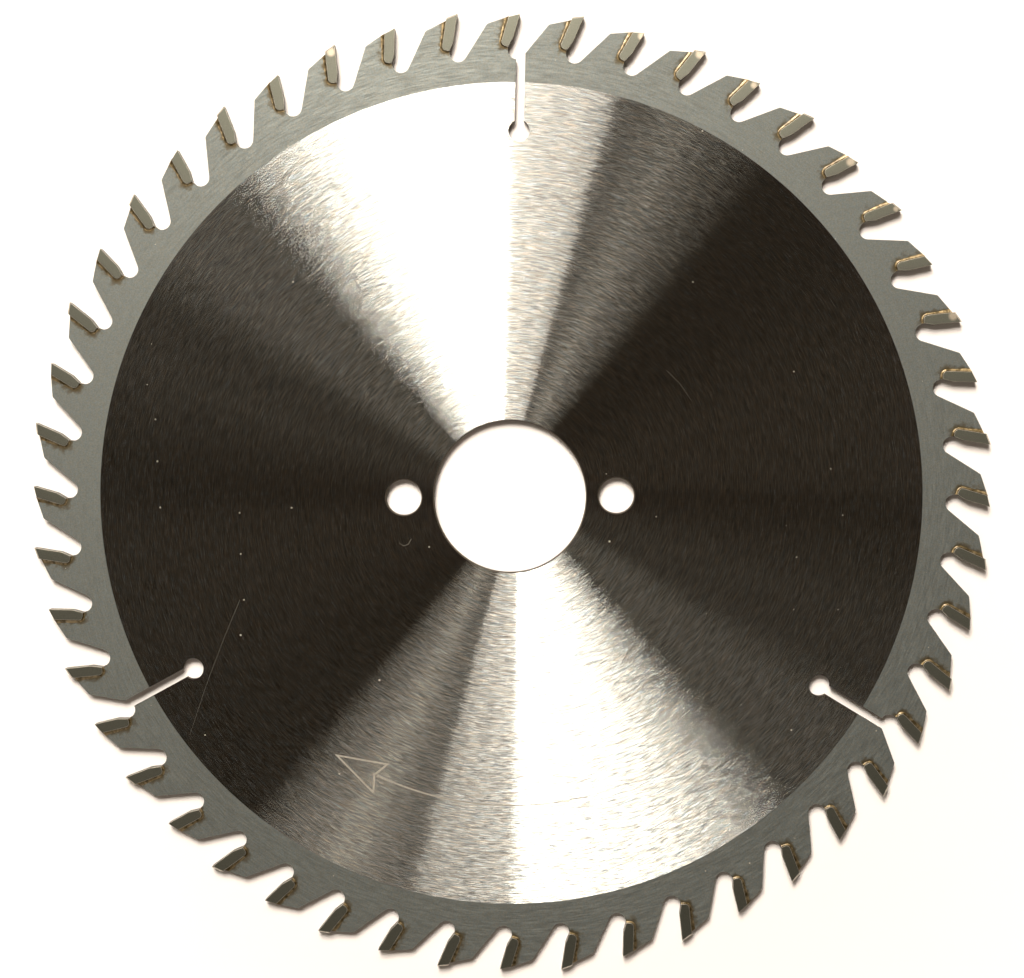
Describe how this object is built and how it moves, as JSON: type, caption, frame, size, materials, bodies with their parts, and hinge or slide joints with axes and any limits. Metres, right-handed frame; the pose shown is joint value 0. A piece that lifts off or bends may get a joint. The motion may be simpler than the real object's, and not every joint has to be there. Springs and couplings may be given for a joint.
{
  "type": "circular saw blade",
  "caption": "Flat toothed steel disc with brazed carbide tips, a round bore, two drive pin holes and keyhole expansion slots, for a saw.",
  "frame": {"origin": "on the blade's axis, at the middle of the bore and halfway through the plate", "axes": "+Z along the blade's axis, out of the face that carries the rotation arrow; +X through the centre of one drive pin hole"},
  "size_m": [0.189, 0.189, 0.0026],
  "materials": {
    "plate_steel": "hardened tool steel: the middle disc ground round and round to a bright streaky sheen, the outer ring matte grey",
    "carbide": "satin grey ground tungsten carbide"
  },
  "bodies": {
    "root": {"blade_plate": "plate_steel", "tip_01_low": "carbide", "tip_02_high": "carbide", "tip_03_low": "carbide", "tip_04_high": "carbide", "tip_05_low": "carbide", "tip_06_high": "carbide", "tip_07_low": "carbide", "tip_08_high": "carbide", "tip_09_low": "carbide", "tip_10_high": "carbide", "tip_11_low": "carbide", "tip_12_high": "carbide", "tip_13_low": "carbide", "tip_14_high": "carbide", "tip_15_low": "carbide", "tip_16_high": "carbide", "tip_17_low": "carbide", "tip_18_high": "carbide", "tip_19_low": "carbide", "tip_20_high": "carbide", "tip_21_low": "carbide", "tip_22_high": "carbide", "tip_23_low": "carbide", "tip_24_high": "carbide", "tip_25_low": "carbide", "tip_26_high": "carbide", "tip_27_low": "carbide", "tip_28_high": "carbide", "tip_29_low": "carbide", "tip_30_high": "carbide", "tip_31_low": "carbide", "tip_32_high": "carbide", "tip_33_low": "carbide", "tip_34_high": "carbide", "tip_35_low": "carbide", "tip_36_high": "carbide", "tip_37_low": "carbide", "tip_38_high": "carbide", "tip_39_low": "carbide", "tip_40_high": "carbide", "tip_41_low": "carbide", "tip_42_high": "carbide", "tip_43_low": "carbide", "tip_44_high": "carbide", "tip_45_low": "carbide", "tip_46_high": "carbide", "tip_47_low": "carbide", "tip_48_high": "carbide"}
  },
  "joints": []
}
